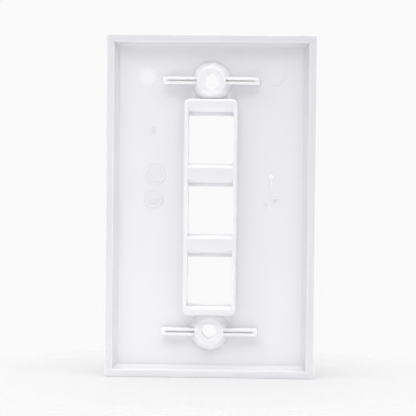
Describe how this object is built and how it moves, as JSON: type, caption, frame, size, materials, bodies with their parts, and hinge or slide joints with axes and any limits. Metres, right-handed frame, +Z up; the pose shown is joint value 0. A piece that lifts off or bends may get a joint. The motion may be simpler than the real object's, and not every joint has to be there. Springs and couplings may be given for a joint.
{
  "type": "keystone faceplate",
  "caption": "Plain moulded wall plate with snap-in jack openings in a raised rear block, screw bosses and a recessed, rimmed back.",
  "frame": {"origin": "centre of the plane of the rear rim, which meets the wall", "axes": "+Z up along the plate's height, +Y out of the back towards the wall, X across the width; the front faces -Y"},
  "size_m": [0.0698, 0.0094, 0.1142],
  "materials": {
    "moulding": "semi-gloss moulded plastic"
  },
  "bodies": {
    "root": {"faceplate": "moulding"}
  },
  "joints": []
}
